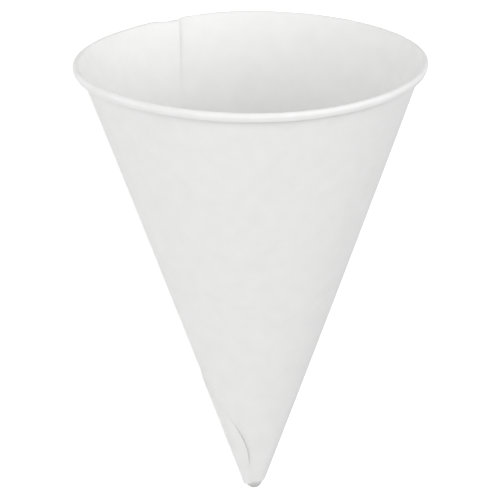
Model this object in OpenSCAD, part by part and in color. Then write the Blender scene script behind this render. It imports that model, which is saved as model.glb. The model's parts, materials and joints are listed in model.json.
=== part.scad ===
// Cone paper cup: one sheet of paper, wound into a cone, glued along a lap and curled outwards at the rim.
// It is drawn standing on its tip, mouth up, and then laid on its side, as such a cup comes to rest.

/* [Cup] */
// Outside diameter across the rolled rim
rim_d = 73; // [60:0.5:90]
// Height along the axis, from the tip to the top of the rim
cup_h = 94; // [80:0.5:120]
// Radius of the rounded tip
tip_r = 2; // [1.5:0.1:3.5]
// Thickness of the paper
paper_t = 0.25; // [0.15:0.01:0.35]

/* [Rolled rim] */
// Width of the roll, across the wall
roll_w = 1.45; // [1.3:0.05:2.4]
// Straight side of the roll, between its upper and its lower bend
roll_side = 0.6; // [0.4:0.05:2]
// Gap between the curled edge of the paper and the wall
curl_gap = 0.1; // [0.05:0.01:0.2]
// Depth of the flat spot on the roll, on which the cup lies
flat_d = 0.25; // [0.1:0.01:0.3]

/* [Glued lap] */
// Width of the lap, round the rim
lap_w = 25; // [15:0.5:40]
// How much further the outer flap wraps round the tip than round the rim, in degrees
tail_turn = 104; // [20:1:110]
// Distance up the wall at which the outer flap starts to wrap further
tail_start = 30; // [20:0.5:45]
// Distance up the wall below which the outer flap is fully wrapped
tail_full = 9; // [4:0.5:15]

/* [Hidden] */
$fn = 96;

paper_color = [0.93, 0.93, 0.925];

// The roll's upper bend: its radius, and its centre as distances from the axis, above the tip
// and out from the wall's outer face
roll_r = roll_w / 2;
bend_r = rim_d / 2 - roll_r;
bend_z = cup_h - roll_r;
bend_n = roll_r - paper_t;

// The wall's outer face touches the rounded tip and runs straight up to the roll
bend_reach = norm([bend_r, bend_z - tip_r]);
half_angle = atan2(bend_r, bend_z - tip_r) - asin((bend_n + tip_r) / bend_reach);
bend_u = sqrt(pow(bend_reach, 2) - pow(bend_n + tip_r, 2));
wall_u = bend_u - roll_side;

// Where the wall leaves the rounded tip, and the paper's thickness measured level
foot_r = tip_r * cos(half_angle);
foot_z = tip_r * (1 - sin(half_angle));
level_t = paper_t / cos(half_angle);

// The rounded tip is pressed solid, and its neck reaches up between the windings
neck_r = foot_r - level_t / 3;
neck_h = paper_t / 3;

// The sheet starts at angle 0 and is wound for one full turn and the lap, which is a whole number of
// hundredths of a degree, so that the turns meet
lap_angle = round(36000 * lap_w / (PI * rim_d)) / 100;
half_turn = 180;
tail_steps = 14;

// The double roll on the lap is one paper thickness wider, and as high as the single one
lap_roll_r = roll_r + paper_t / 2;
lap_roll_side = roll_side - paper_t;

// Radius and height of the point u up the wall and n out from its outer face
function on_wall(u, n) = [
    foot_r + u * sin(half_angle) + n * cos(half_angle),
    foot_z + u * cos(half_angle) - n * sin(half_angle)
];

// Angle of the outer flap's edge, u up the wall: straight up to the rim, but wrapped on round the tip
function tail_share(u) = min(1, max(0, (tail_start - u) / (tail_start - tail_full)));
function flap_edge(u) = lap_angle + tail_turn * (1 - cos(180 * tail_share(u))) / 2;
function plan_point(r, a) = [r * cos(a), r * sin(a)];

// The floor under the lying cup touches the foot of the lap and the flat spot on its double roll
rest_angle = lap_angle / 2;
rest_foot = [foot_r + level_t, foot_z];
rest_bend = on_wall(wall_u + paper_t / 2, lap_roll_r - paper_t);
rest_reach = norm(rest_bend - rest_foot);
floor_angle = atan2(rest_bend[0] - rest_foot[0], rest_bend[1] - rest_foot[1])
    + asin((lap_roll_r - flat_d) / rest_reach);
floor_drop = rest_foot[0] * cos(floor_angle) - rest_foot[1] * sin(floor_angle);

// The middle of the lying cup's length, from the tip's end to the rim, and of its width
rim_bend = on_wall(bend_u - paper_t / 2, lap_roll_r - paper_t);
rim_reach = rim_bend[0] * sin(floor_angle) + rim_bend[1] * cos(floor_angle) + lap_roll_r;
tip_reach = tip_r * cos(floor_angle) - tip_r + level_t / 2 * cos(rest_angle) * sin(floor_angle);
mid_length = (rim_reach + tip_reach) / 2;
mid_width = level_t * (1 + sin(rest_angle)) / 4;

// Frame of the wall's section: x out from the outer face, y up along it
module along_wall() {
    translate([foot_r, foot_z])
        rotate(-half_angle)
            children();
}

// The straight part of the wall, cut level at its foot
module wall_section() {
    along_wall()
        polygon([
            [-paper_t, -paper_t * tan(half_angle)],
            [0, 0],
            [0, wall_u],
            [-paper_t, wall_u]
        ]);
}

module ring_section(r, t) {
    difference() {
        circle(r);
        circle(r - t);
    }
}

// The rim curled outwards and down, of paper t thick: upper bend, outer side, lower bend and open edge
module roll_section(r, side, t) {
    open_angle = acos((r - t - curl_gap) / r);
    reach = 2 * r;
    along_wall()
        translate([r - paper_t, bend_u + roll_r - r]) {
            intersection() {
                ring_section(r, t);
                translate([-reach, 0])
                    square([2 * reach, reach]);
            }
            translate([r - t, -side])
                square([t, side]);
            translate([-r, wall_u - bend_u - roll_r + r])
                square([t, bend_u - wall_u + roll_r - r]);
            translate([0, -side])
                intersection() {
                    ring_section(r, t);
                    polygon([[0, 0], [reach, 0], [reach, -reach], [-reach / tan(open_angle), -reach]]);
                }
        }
}

module single_section() {
    wall_section();
    roll_section(roll_r, roll_side, paper_t);
}

module lap_section() {
    wall_section();
    roll_section(lap_roll_r, lap_roll_side, 2 * paper_t);
}

// First half turn of the sheet, round the axis, with the double roll over the lap
module first_half() {
    rotate_extrude(angle = lap_angle)
        lap_section();
    rotate_extrude(start = lap_angle, angle = half_turn - lap_angle)
        single_section();
}

// Second half turn, round a centre half a paper thickness away, so that it ends outside the first
module second_half() {
    translate([level_t / 2, 0, 0])
        rotate_extrude(start = half_turn, angle = half_turn)
            translate([level_t / 2, 0])
                single_section();
}

// Plan of the flap's tail, whose outer edge swings on round the tip
module tail_plan() {
    swing = 30;
    edge = [for (i = [0:tail_steps - 1]) let (u = tail_start + (tail_full - tail_start) * i / tail_steps)
        plan_point(on_wall(u, 0)[0], flap_edge(u))];
    polygon(concat(
        [plan_point(on_wall(tail_start, 0)[0], lap_angle - swing)],
        edge,
        [plan_point(foot_r, flap_edge(0) + swing), plan_point(foot_r, lap_angle - half_turn + swing)]
    ));
}

// The glued lap: the sheet's outer flap, lying on its first turn
module outer_flap() {
    rotate_extrude(angle = lap_angle)
        translate([level_t, 0])
            wall_section();
    intersection() {
        rotate_extrude(start = lap_angle, angle = tail_turn)
            translate([level_t, 0])
                wall_section();
        linear_extrude(height = cup_h)
            tail_plan();
    }
}

// The rounded tip, under the middle of the windings, and its neck between them
module rounded_tip() {
    translate([level_t / 2, 0, 0])
        rotate_extrude()
            intersection() {
                translate([0, tip_r])
                    circle(tip_r);
                square([neck_r, foot_z + neck_h]);
            }
}

// The wound sheet
module sheet() {
    first_half();
    second_half();
    outer_flap();
}

module standing_cup() {
    sheet();
    rounded_tip();
}

// What the flat spot takes off the roll: all of it that would be below the floor
module below_floor() {
    translate([-rim_d / 2, 0, -roll_w])
        cube([rim_d, cup_h, roll_w]);
}

module cup() {
    color(paper_color)
        difference() {
            translate([-mid_width, -mid_length, floor_drop])
                rotate([floor_angle - 90, 0, 0])
                    rotate([0, 0, 90 - rest_angle])
                        standing_cup();
            below_floor();
        }
}

cup();
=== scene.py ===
import json
import math

import bpy
import numpy as np
from mathutils import Matrix, Vector


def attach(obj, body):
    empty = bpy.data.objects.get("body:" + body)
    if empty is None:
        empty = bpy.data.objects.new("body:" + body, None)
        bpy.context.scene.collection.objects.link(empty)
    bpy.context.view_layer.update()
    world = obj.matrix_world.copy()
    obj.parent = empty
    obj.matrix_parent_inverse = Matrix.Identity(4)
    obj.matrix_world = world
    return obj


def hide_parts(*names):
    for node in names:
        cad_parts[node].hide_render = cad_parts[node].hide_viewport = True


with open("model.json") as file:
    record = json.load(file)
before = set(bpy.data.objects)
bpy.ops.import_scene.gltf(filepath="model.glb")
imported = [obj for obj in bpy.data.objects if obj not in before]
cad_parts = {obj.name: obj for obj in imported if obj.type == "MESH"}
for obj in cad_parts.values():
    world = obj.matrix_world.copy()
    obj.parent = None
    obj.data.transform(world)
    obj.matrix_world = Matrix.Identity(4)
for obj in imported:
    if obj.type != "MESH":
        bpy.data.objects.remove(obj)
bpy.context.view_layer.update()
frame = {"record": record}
mm = 0.001
print("frame loaded")


# how the cup lies: its axis comes from the rim mount, and the middle of its lap is downwards
lying = {
    "height": 94.0,        # tip to rim, mm
    "lapMiddle": 19.62,    # degrees from the sheet's inner edge
}
rimMount = next(m for m in frame["record"]["mounts"] if m["name"] == "rim")
axisDir = Vector(rimMount["axis"]).normalized()        # tip to mouth
downDir = Vector((0, axisDir.z, -axisDir.y))           # from the axis to the middle of the lap
sideDir = downDir.cross(axisDir)
tipPoint = Vector(rimMount["pos_m"]) - axisDir * lying["height"] * mm
cupMiddle = tipPoint + axisDir * lying["height"] * mm / 2


# a direction square to the axis, at the given angle round it from the sheet's inner edge
def awayFromAxis(degrees):
    turn = math.radians(degrees - lying["lapMiddle"])
    return downDir * math.cos(turn) - sideDir * math.sin(turn)


# arrays of radius, angle and height in mm, in the standing cup, to points in the lying one
def layDown(radius, theta, height):
    turn = theta - math.radians(lying["lapMiddle"])
    down = (radius * np.cos(turn))[..., None] * np.array(downDir)
    side = (-radius * np.sin(turn))[..., None] * np.array(sideDir)
    along = height[..., None] * np.array(axisDir)
    return np.array(tipPoint) + (down + side + along) * mm


def smoothStep(low, high, value):
    share = np.clip((value - low) / (high - low), 0, 1)
    return share * share * (3 - 2 * share)


# rises from nought to one between the first two marks, and falls to nought between the last two
def upAndDown(marks, value):
    return smoothStep(marks[0], marks[1], value) * smoothStep(marks[3], marks[2], value)


# one at the given angle round the cone, falling smoothly to nought on both sides of it
def bumpRound(theta, degrees, width):
    return np.exp((np.cos(theta - math.radians(degrees)) - 1) / math.radians(width) ** 2)


# sum of waves round the cone, each with its count, its depth and the angle of its phase
def wavesRound(theta, waves):
    return sum(depth * np.cos(count * theta - math.radians(phase)) for count, depth, phase in waves)


camera = {
    "angle": 152.4,         # round the axis from the sheet's inner edge, degrees
    "elevation": 19.08,     # above the plane of the rim, degrees
    "distance": 1102.0,     # mm
    "focalPixels": 5290.0,
    "imageSize": 500,
    "halfHeightPixel": (253.9, 276.6),
    "roll": -0.05,          # degrees
    "sensorWidth": 36.0,    # mm
    "clipEnd": 20.0,        # m
}


def makeCamera():
    rise = math.radians(camera["elevation"])
    away = awayFromAxis(camera["angle"])
    back = away * math.cos(rise) + axisDir * math.sin(rise)
    up = axisDir * math.cos(rise) - away * math.sin(rise)
    up = Matrix.Rotation(math.radians(camera["roll"]), 3, back) @ up
    right = up.cross(back)
    pixel = camera["distance"] * mm / camera["focalPixels"]
    offX = camera["halfHeightPixel"][0] - camera["imageSize"] / 2
    offY = camera["halfHeightPixel"][1] - camera["imageSize"] / 2
    place = cupMiddle + back * camera["distance"] * mm
    aim = cupMiddle + up * offY * pixel - right * offX * pixel
    look = (place - aim).normalized()
    rightward = up.cross(look).normalized()
    upward = look.cross(rightward)
    data = bpy.data.cameras.new("camera")
    data.sensor_width = camera["sensorWidth"]
    data.lens = data.sensor_width * camera["focalPixels"] / camera["imageSize"]
    data.clip_end = camera["clipEnd"]
    made = bpy.data.objects.new("camera", data)
    turned = Matrix((rightward, upward, look)).transposed().to_4x4()
    made.matrix_world = Matrix.Translation(place) @ turned
    bpy.context.scene.collection.objects.link(made)
    bpy.context.scene.camera = made
    return right, up, back


viewRight, viewUp, viewBack = makeCamera()
print("camera made")


# the wound sheet, sizes in mm; values ending in Up are distances up the wall from the foot
cup = {
    "rimWidth": 73.0,
    "tipRadius": 2.0,
    "rollWidth": 1.45,
    "rollSide": 0.6,
    "paper": 0.25,
    "pitch": 0.26,          # from one turn of paper to the next, with the glue between
    "curlEnd": 110.0,       # how far the lower bend of the roll goes on, degrees
    "curlWaves": ((5, 7.0, 20.0), (11, 5.0, 80.0)),     # unevenness of the curled edge, degrees
    "rollWaves": ((7, 0.012, 0.0), (13, 0.010, 50.0), (23, 0.006, 10.0)),
    "rollWavesUp": (90.0, 97.0),        # up the wall, from none to full
    "lap": 39.24,           # degrees
    "innerSlant": 6.0,      # how far the inner edge slants round the cone, degrees
    "slantDepth": 28.0,
    "tailTurn": 99.5,       # how much further the outer flap goes round the tip, degrees
    "tailStart": 36.0,
    "tailFull": 8.0,
    "tailLift": 0.12,       # how far the outer flap's edge stands off near the tip
    "tailLiftWidth": 1.3,
    "tailLiftUp": (5.0, 9.0, 13.0, 19.0),
    "edgePress": 0.96,      # share of the paper that is pressed away along the glued edge
    "edgePressWidth": 1.5,
    "edgeFreeUp": (5.0, 8.0, 12.0, 18.0),       # where that edge is left as cut
    "rimLift": 0.70,        # how far the inner edge stands off below the roll
    "rimLiftWidth": 3.0,
    "rimLiftUp": (84.0, 96.0),
    "rimLiftTurn": 1.2,     # where it lies close again on the roll, radians
    "seamStep": 0.16,       # the rim steps up past the inner edge
    "seamStepAngles": (-18.0, 12.0),    # middle of the high and of the low stretch, degrees
    "seamStepWidth": 12.0,
    "seamDip": 0.6,         # and it is pressed down on the inner edge's corner
    "seamDipAngles": (-3.0, 0.0, 3.0, 9.0),
    "flapRise": 0.35,       # how much higher the outer flap ends above the tip in front
    "footRise": 0.80,       # and the first turn
    "riseUp": 6.0,
    "outOfRound": ((1, 0.35, 63.0), (2, 0.21, -132.0), (3, 0.29, 178.0)),
    "unevenRim": ((1, 0.11, -109.0), (2, 0.07, -106.0), (3, 0.17, -90.0)),
    "unevenUp": (50.0, 97.0),
    "give": 0.12,           # softness of the spot that the cup lies on
    "sharpAngle": 40.0,     # bends past this are edges, degrees
    "turnColumns": 420,
    "lapColumns": 96,
    "wallRows": 48,
    "wallCrowding": 1.5,    # rows lie closer together by the tip
    "bendRows": 13,
}
rollRadius = cup["rollWidth"] / 2
bendX = cup["rimWidth"] / 2 - rollRadius
bendY = lying["height"] - rollRadius - cup["tipRadius"]
bendOff = rollRadius - cup["paper"] + cup["tipRadius"]
halfAngle = math.atan2(bendX, bendY) - math.asin(bendOff / math.hypot(bendX, bendY))
wallLength = math.sqrt(bendX ** 2 + bendY ** 2 - bendOff ** 2)
footRadius = cup["tipRadius"] * math.cos(halfAngle)
footHeight = cup["tipRadius"] * (1 - math.sin(halfAngle))
curlCentre = rollRadius - cup["paper"] / 2


# angle of the outer flap's edge at a distance up the wall: level by the rim, swinging on by the tip
def flapEdge(up):
    share = np.clip((cup["tailStart"] - up) / (cup["tailStart"] - cup["tailFull"]), 0, 1)
    return np.radians(360 + cup["lap"] + cup["tailTurn"] * (1 - np.cos(math.pi * share)) / 2)


# angle of the inner edge at a distance up the wall: nought at the rim, slanting on below it
def innerEdge(up):
    return np.radians(cup["innerSlant"]) * np.tanh((wallLength - up) / cup["slantDepth"])


# grid of the sheet from foot to curled edge and from inner to outer edge: distance up the wall of the
# bend's centre, angle that the paper has turned through there, and angle round the cone
def sheetGrid():
    wall = wallLength * np.linspace(0, 1, cup["wallRows"]) ** cup["wallCrowding"]
    upper = np.linspace(0, math.pi, cup["bendRows"])[1:]
    lower = np.linspace(0, 1, cup["bendRows"])
    base = np.concatenate((
        wall,
        np.full(upper.size, wallLength),
        np.full(lower.size, wallLength - cup["rollSide"]),
    ))[:, None]
    turnShare = np.linspace(0, 1, cup["turnColumns"], endpoint=False)
    flapShare = np.linspace(0, 1, cup["lapColumns"])
    start = innerEdge(base)
    theta = np.concatenate((
        start + turnShare * (2 * math.pi - start),
        2 * math.pi + flapShare * (flapEdge(base) - 2 * math.pi),
    ), axis=1)
    curl = np.radians(cup["curlEnd"] + wavesRound(theta[-lower.size:], cup["curlWaves"]))
    turned = np.concatenate((
        np.zeros((wall.size, theta.shape[1])),
        np.broadcast_to(upper[:, None], (upper.size, theta.shape[1])),
        math.pi + lower[:, None] * curl,
    ))
    return base, turned, theta


# the sheet is wound as a spiral: at angle theta its middle lies pitch * (theta / 360 - 1/2) out from
# the cone, and at the rim it turns on round one common centre; the two faces are half a paper off
def sheetFaces():
    base, turned, theta = sheetGrid()
    local = footRadius + base * math.sin(halfAngle)
    toEdge = (flapEdge(base) - theta) * local
    toStart = (theta - innerEdge(base)) * local
    fromSeam = np.degrees(np.arctan2(np.sin(theta), np.cos(theta)))
    lift = cup["tailLift"] * np.clip(1 - toEdge / cup["tailLiftWidth"], 0, 1) ** 2
    lift = lift * upAndDown(cup["tailLiftUp"], base)
    slack = cup["rimLift"] * np.clip(1 - toStart / cup["rimLiftWidth"], 0, 1) ** 2
    slack = slack * smoothStep(*cup["rimLiftUp"], base) * smoothStep(cup["rimLiftTurn"], 0, turned)
    ripple = wavesRound(theta, cup["rollWaves"]) * smoothStep(*cup["rollWavesUp"], base)
    wound = cup["pitch"] * (theta / (2 * math.pi) - 0.5) + lift - slack - ripple
    bend = curlCentre - wound
    rise = np.where(theta < 2 * math.pi, cup["footRise"], cup["flapRise"]) * np.sin(theta / 2) ** 2
    rise = rise * smoothStep(cup["riseUp"], 0, base)
    high, low = (bumpRound(theta, angle, cup["seamStepWidth"]) for angle in cup["seamStepAngles"])
    step = cup["seamStep"] * (high - low)
    dip = cup["seamDip"] * upAndDown(cup["seamDipAngles"], fromSeam)
    uneven = (wavesRound(theta, cup["unevenRim"]) + step - dip) * smoothStep(*cup["unevenUp"], base)
    sway = wavesRound(theta, cup["outOfRound"]) * (base / wallLength) ** 2
    out = curlCentre - bend * np.cos(turned) + sway
    up = base + bend * np.sin(turned) + rise + uneven
    pressed = cup["edgePress"] * np.clip(1 - toEdge / cup["edgePressWidth"], 0, 1)
    pressed = pressed * (1 - upAndDown(cup["edgeFreeUp"], base))
    faces = []
    for side in (-0.5, 0.5 - pressed):
        faceOut = out + side * cup["paper"] * np.cos(turned)
        faceUp = up - side * cup["paper"] * np.sin(turned)
        radius = footRadius + faceUp * math.sin(halfAngle) + faceOut * math.cos(halfAngle)
        height = footHeight + faceUp * math.cos(halfAngle) - faceOut * math.sin(halfAngle)
        faces.append(layDown(radius, theta, height))
    flat = footRadius / math.sin(halfAngle) + base + bend * turned
    flatTurn = theta * math.sin(halfAngle)
    flatMap = np.stack((flat * np.cos(flatTurn), flat * np.sin(flatTurn)), axis=-1) * mm
    return faces[0], faces[1], flatMap


# quads between neighbours on a grid of vertex numbers
def gridQuads(numbers):
    corners = (numbers[:-1, :-1], numbers[:-1, 1:], numbers[1:, 1:], numbers[1:, :-1])
    return np.stack(corners, axis=-1).reshape(-1, 4)


# the pressed and glued tip, sizes in mm
tip = {
    "noseRadius": 1.8,
    "neckTop": 4.0,
    "folds": 5,
    "foldDepth": 0.07,
    "foldTwist": 1.2,       # radians for each mm of height
    "foldHeights": (1.0, 3.5),          # full up to here, none from here
    # painted shade on the nose: full up to the first height, gone from the second
    "gluedHeights": (0.9, 2.2),
    "columns": 72,
    "ballRows": 18,
    "neckRows": 8,
}


# ball: radius * sine and radius * (1 - cosine) of the angle from the pole; then a neck that widens to the
# innermost turn of paper; folds run up it and die out
def tipFaces():
    sweep = np.linspace(0, math.pi / 2, tip["ballRows"])[1:]
    share = np.linspace(0, 1, tip["neckRows"])[1:]
    innerTurn = footRadius - (cup["pitch"] + cup["paper"]) / 2 / math.cos(halfAngle)
    topRadius = innerTurn + (tip["neckTop"] - footHeight) * math.tan(halfAngle)
    neckRadius = tip["noseRadius"] + (topRadius - tip["noseRadius"]) * share
    neckHeight = tip["noseRadius"] + (tip["neckTop"] - tip["noseRadius"]) * share
    radius = np.concatenate((tip["noseRadius"] * np.sin(sweep), neckRadius))[:, None]
    height = np.concatenate((tip["noseRadius"] * (1 - np.cos(sweep)), neckHeight))[:, None]
    theta = np.linspace(0, 2 * math.pi, tip["columns"], endpoint=False)[None, :]
    fold = tip["foldDepth"] * (0.5 + 0.5 * np.sin(tip["folds"] * theta + tip["foldTwist"] * height))
    fold = fold * (1 - smoothStep(*tip["foldHeights"], height))
    ring = layDown(radius * (1 - fold), np.broadcast_to(theta, fold.shape), height + 0 * theta)
    ends = layDown(np.zeros(2), np.zeros(2), np.array([0.0, tip["neckTop"]]))
    # painted shade: one on the nose, fading to nought up the neck
    glued = np.broadcast_to(1 - smoothStep(*tip["gluedHeights"], height), fold.shape)
    return ring, ends, np.concatenate((glued.ravel(), [1.0, 0.0]))


def makeCup():
    inner, outer, flatMap = sheetFaces()
    rows, columns = inner.shape[:2]
    inside = np.arange(rows * columns).reshape(rows, columns)
    outside = inside + rows * columns
    ring, ends, tipPaintedShade = tipFaces()
    tipStart = 2 * rows * columns
    around = tipStart + np.arange(ring.shape[0] * ring.shape[1]).reshape(ring.shape[:2])
    closed = np.concatenate((around, around[:, :1]), axis=1)
    lowPole = np.full(tip["columns"], tipStart + around.size)
    paperQuads = np.concatenate((gridQuads(inside)[:, ::-1], gridQuads(outside), gridQuads(closed)))
    cutQuads = np.concatenate((
        gridQuads(np.stack((inside[0], outside[0]))),
        gridQuads(np.stack((outside[-1], inside[-1]))),
        gridQuads(np.stack((outside[:, 0], inside[:, 0]))),
        gridQuads(np.stack((inside[:, -1], outside[:, -1]))),
    ))
    fans = np.concatenate((
        np.stack((lowPole, closed[0, 1:], closed[0, :-1]), axis=-1),
        np.stack((lowPole + 1, closed[-1, :-1], closed[-1, 1:]), axis=-1),
    ))
    points = np.concatenate((inner.reshape(-1, 3), outer.reshape(-1, 3), ring.reshape(-1, 3), ends))
    soft = cup["give"] * mm
    points[:, 2] = soft * np.logaddexp(0, points[:, 2] / soft)      # paper gives where it meets the floor
    tipMap = np.concatenate((ring[..., :2].reshape(-1, 2), ends[:, :2]))
    pointMap = np.concatenate((flatMap.reshape(-1, 2), flatMap.reshape(-1, 2), tipMap))
    mesh = bpy.data.meshes.new("wound_cup")
    mesh.from_pydata(points, [], paperQuads.tolist() + cutQuads.tolist() + fans.tolist())
    slots = np.zeros(len(mesh.polygons), dtype=np.int32)
    slots[len(paperQuads):len(paperQuads) + len(cutQuads)] = 1
    mesh.polygons.foreach_set("material_index", slots)
    corners = np.empty(len(mesh.loops), dtype=np.int32)
    mesh.loops.foreach_get("vertex_index", corners)
    layer = mesh.uv_layers.new(name="flatSheet")
    layer.data.foreach_set("uv", pointMap[corners].astype(np.float32).ravel())
    # the nose's painted shade, carried on the points
    glued = mesh.attributes.new("glued", "FLOAT", "POINT")
    glued.data.foreach_set("value", np.concatenate((np.zeros(tipStart), tipPaintedShade)).astype(np.float32))
    mesh.shade_smooth()
    mesh.set_sharp_from_angle(angle=math.radians(cup["sharpAngle"]))
    made = bpy.data.objects.new("wound_cup", mesh)
    bpy.context.scene.collection.objects.link(made)
    return made


# white uncoated paper: cloudy formation, fibres and slight cockling of the flat sheet; depths in mm
paperFace = {
    "colour": (0.875, 0.875, 0.87, 1.0),
    "cloud": (0.85, 0.85, 0.845, 1.0),
    # painted shade: the colour that the pressed tip is darkened to, standing in for the shade under the
    # nose
    "glued": (0.60, 0.60, 0.59, 1.0),
    "cloudScale": 260.0,
    "cloudLow": 0.3,        # noise at which the cloudy colour is full
    "cloudHigh": 0.7,       # and at which it has gone
    "fibreScale": 2400.0,
    "fibreStretch": 0.3,
    "fibreDepth": 0.008,
    "cockleScale": 90.0,
    "cockleDepth": 0.10,
    "roughLow": 0.72,
    "roughHigh": 0.92,
    "specular": 0.3,
    "lightDepth": 0.05,     # how far light gets into the sheet, so that a little comes through
}
# where the sheet is cut, the fibres stand open; the cut faces are painted darker as painted shade, for the
# shadow line along the seam
paperCutShade = {
    "colour": (0.60, 0.60, 0.59, 1.0),
    "cloud": (0.52, 0.52, 0.51, 1.0),
    "glued": (0.60, 0.60, 0.59, 1.0),
    "cloudScale": 1500.0,
    "cloudLow": 0.3,
    "cloudHigh": 0.7,
    "fibreScale": 5000.0,
    "fibreStretch": 0.6,
    "fibreDepth": 0.02,
    "cockleScale": 90.0,
    "cockleDepth": 0.0,
    "roughLow": 0.85,
    "roughHigh": 0.95,
    "specular": 0.3,
    "lightDepth": 0.05,
}


# how fine the paper's noise is
grain = {
    "cloudDetail": 4.0,
    "fibreDetail": 5.0,
    "fibreRoughness": 0.65,
    "cockleDetail": 1.0,
}


def fibreGroup():
    group = bpy.data.node_groups.new("paperFibre", "ShaderNodeTree")
    values = ("Cloud Scale", "Fibre Scale", "Fibre Stretch", "Fibre Depth", "Cockle Scale", "Cockle Depth")
    group.interface.new_socket("Vector", in_out="INPUT", socket_type="NodeSocketVector")
    for name in values:
        group.interface.new_socket(name, in_out="INPUT", socket_type="NodeSocketFloat")
    for name in ("Cloud", "Fibre", "Relief"):
        group.interface.new_socket(name, in_out="OUTPUT", socket_type="NodeSocketFloat")
    start = group.nodes.new("NodeGroupInput")
    end = group.nodes.new("NodeGroupOutput")
    cloud = group.nodes.new("ShaderNodeTexNoise")
    cloud.inputs["Detail"].default_value = grain["cloudDetail"]
    across = group.nodes.new("ShaderNodeCombineXYZ")
    across.inputs["X"].default_value = 1.0
    across.inputs["Z"].default_value = 1.0
    stretch = group.nodes.new("ShaderNodeVectorMath")
    stretch.operation = "MULTIPLY"
    fibre = group.nodes.new("ShaderNodeTexNoise")
    fibre.inputs["Detail"].default_value = grain["fibreDetail"]
    fibre.inputs["Roughness"].default_value = grain["fibreRoughness"]
    cockle = group.nodes.new("ShaderNodeTexNoise")
    cockle.inputs["Detail"].default_value = grain["cockleDetail"]
    fibreRelief = group.nodes.new("ShaderNodeMath")
    fibreRelief.operation = "MULTIPLY"
    relief = group.nodes.new("ShaderNodeMath")
    relief.operation = "MULTIPLY_ADD"
    join = group.links.new
    join(start.outputs["Vector"], cloud.inputs["Vector"])
    join(start.outputs["Cloud Scale"], cloud.inputs["Scale"])
    join(start.outputs["Vector"], stretch.inputs[0])
    join(start.outputs["Fibre Stretch"], across.inputs["Y"])
    join(across.outputs["Vector"], stretch.inputs[1])
    join(stretch.outputs["Vector"], fibre.inputs["Vector"])
    join(start.outputs["Fibre Scale"], fibre.inputs["Scale"])
    join(start.outputs["Vector"], cockle.inputs["Vector"])
    join(start.outputs["Cockle Scale"], cockle.inputs["Scale"])
    join(fibre.outputs["Fac"], fibreRelief.inputs[0])
    join(start.outputs["Fibre Depth"], fibreRelief.inputs[1])
    join(cockle.outputs["Fac"], relief.inputs[0])
    join(start.outputs["Cockle Depth"], relief.inputs[1])
    join(fibreRelief.outputs["Value"], relief.inputs[2])
    join(cloud.outputs["Fac"], end.inputs["Cloud"])
    join(fibre.outputs["Fac"], end.inputs["Fibre"])
    join(relief.outputs["Value"], end.inputs["Relief"])
    return group


def paperMaterial(name, look, group):
    material = bpy.data.materials.new(name)
    material.use_nodes = True
    nodes = material.node_tree.nodes
    join = material.node_tree.links.new
    shader = nodes["Principled BSDF"]
    shader.inputs["Specular IOR Level"].default_value = look["specular"]
    shader.inputs["Subsurface Weight"].default_value = 1.0
    shader.inputs["Subsurface Radius"].default_value = (1.0, 1.0, 1.0)
    shader.inputs["Subsurface Scale"].default_value = look["lightDepth"] * mm
    flat = nodes.new("ShaderNodeUVMap")
    flat.uv_map = "flatSheet"
    fibre = nodes.new("ShaderNodeGroup")
    fibre.node_tree = group
    fibre.inputs["Cloud Scale"].default_value = look["cloudScale"]
    fibre.inputs["Fibre Scale"].default_value = look["fibreScale"]
    fibre.inputs["Fibre Stretch"].default_value = look["fibreStretch"]
    fibre.inputs["Fibre Depth"].default_value = look["fibreDepth"]
    fibre.inputs["Cockle Scale"].default_value = look["cockleScale"]
    fibre.inputs["Cockle Depth"].default_value = look["cockleDepth"]
    tint = nodes.new("ShaderNodeValToRGB")
    tint.color_ramp.elements[0].position = look["cloudLow"]
    tint.color_ramp.elements[0].color = look["cloud"]
    tint.color_ramp.elements[1].position = look["cloudHigh"]
    tint.color_ramp.elements[1].color = look["colour"]
    # painted shade: the paper's colour is mixed towards the shade colour on the tip
    tipShadeMask = nodes.new("ShaderNodeAttribute")
    tipShadeMask.attribute_name = "glued"
    darken = nodes.new("ShaderNodeMix")
    darken.data_type = "RGBA"
    darken.inputs["B"].default_value = look["glued"]
    rough = nodes.new("ShaderNodeMapRange")
    rough.inputs["To Min"].default_value = look["roughLow"]
    rough.inputs["To Max"].default_value = look["roughHigh"]
    bump = nodes.new("ShaderNodeBump")
    bump.inputs["Distance"].default_value = mm
    join(flat.outputs["UV"], fibre.inputs["Vector"])
    join(fibre.outputs["Cloud"], tint.inputs["Fac"])
    join(tipShadeMask.outputs["Fac"], darken.inputs["Factor"])
    join(tint.outputs["Color"], darken.inputs["A"])
    join(darken.outputs["Result"], shader.inputs["Base Color"])
    join(fibre.outputs["Fibre"], rough.inputs["Value"])
    join(rough.outputs["Result"], shader.inputs["Roughness"])
    join(fibre.outputs["Relief"], bump.inputs["Height"])
    join(bump.outputs["Normal"], shader.inputs["Normal"])
    return material


woundCup = makeCup()
paperFibre = fibreGroup()
woundCup.data.materials.append(paperMaterial("white_paper", paperFace, paperFibre))
woundCup.data.materials.append(paperMaterial("cut_paper_painted_shade", paperCutShade, paperFibre))
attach(woundCup, "root")
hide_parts("cup")
print("cup wound:", len(woundCup.data.polygons), "faces")


# one where a ray comes from the camera, from gloss or through glass, and nought where it carries light
def seenDirectly(nodes, join):
    path = nodes.new("ShaderNodeLightPath")
    gloss = nodes.new("ShaderNodeMath")
    gloss.operation = "MAXIMUM"
    glass = nodes.new("ShaderNodeMath")
    glass.operation = "MAXIMUM"
    join(path.outputs["Is Camera Ray"], gloss.inputs[0])
    join(path.outputs["Is Glossy Ray"], gloss.inputs[1])
    join(gloss.outputs["Value"], glass.inputs[0])
    join(path.outputs["Is Transmission Ray"], glass.inputs[1])
    return glass.outputs["Value"]


# pale floor: it shows the shadow, and is lifted to white where it is seen
floorLook = {
    "halfSize": 6.0,
    "colour": (0.9, 0.9, 0.9, 1.0),
    "glow": 0.56,
    "rough": 0.9,
    "specular": 0.1,
}


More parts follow.
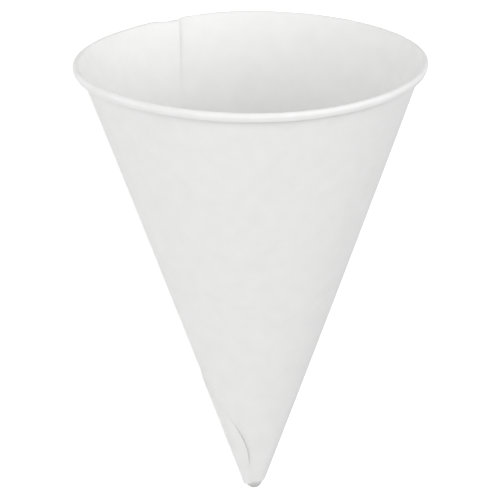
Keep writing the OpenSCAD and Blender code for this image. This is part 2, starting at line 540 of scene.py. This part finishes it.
def makeFloor():
    half = floorLook["halfSize"]
    corners = [(-half, -half, 0), (half, -half, 0), (half, half, 0), (-half, half, 0)]
    mesh = bpy.data.meshes.new("floor")
    mesh.from_pydata(corners, [], [(0, 1, 2, 3)])
    made = bpy.data.objects.new("floor", mesh)
    bpy.context.scene.collection.objects.link(made)
    material = bpy.data.materials.new("pale_floor")
    material.use_nodes = True
    nodes = material.node_tree.nodes
    join = material.node_tree.links.new
    shader = nodes["Principled BSDF"]
    shader.inputs["Base Color"].default_value = floorLook["colour"]
    shader.inputs["Roughness"].default_value = floorLook["rough"]
    shader.inputs["Specular IOR Level"].default_value = floorLook["specular"]
    shader.inputs["Emission Color"].default_value = (1.0, 1.0, 1.0, 1.0)
    glow = nodes.new("ShaderNodeMath")
    glow.operation = "MULTIPLY"
    glow.inputs[1].default_value = floorLook["glow"]
    join(seenDirectly(nodes, join), glow.inputs[0])
    join(glow.outputs["Value"], shader.inputs["Emission Strength"])
    mesh.materials.append(material)


makeFloor()
print("floor made")


# soft light: a lamp's direction is to the right, upwards and towards the viewer, as the camera sees it
light = {
    "world": 0.25,
    "distance": 1.2,        # m
    "size": 0.9,            # m
    "lamps": {
        "left": {"direction": (-0.342, 0.0, 0.940), "power": 4.3},
        "front": {"direction": (0.0, 0.342, 0.940), "power": 3.0},
        "side": {"direction": (0.643, 0.0, 0.766), "power": 5.4},
        "right": {"direction": (0.925, 0.342, 0.163), "power": 3.8},
    },
}


def makeLamp(name, lamp):
    data = bpy.data.lights.new(name, "AREA")
    data.shape = "DISK"
    data.size = light["size"]
    data.energy = lamp["power"]
    made = bpy.data.objects.new(name, data)
    made.visible_camera = False
    right, up, back = lamp["direction"]
    toLamp = (viewRight * right + viewUp * up + viewBack * back).normalized()
    made.location = cupMiddle + toLamp * light["distance"]
    made.rotation_mode = "QUATERNION"
    made.rotation_quaternion = toLamp.to_track_quat("Z", "Y")
    bpy.context.scene.collection.objects.link(made)


def makeWorld():
    world = bpy.data.worlds.new("studio")
    world.use_nodes = True
    bpy.context.scene.world = world
    nodes = world.node_tree.nodes
    join = world.node_tree.links.new
    shown = nodes["Background"]
    shown.inputs["Color"].default_value = (1.0, 1.0, 1.0, 1.0)
    strength = nodes.new("ShaderNodeMapRange")
    strength.inputs["To Min"].default_value = light["world"]
    strength.inputs["To Max"].default_value = 1.0
    join(seenDirectly(nodes, join), strength.inputs["Value"])
    join(strength.outputs["Result"], shown.inputs["Strength"])


makeWorld()
for name, lamp in light["lamps"].items():
    makeLamp(name, lamp)
bpy.context.scene.view_settings.view_transform = "Standard"
print("light made")
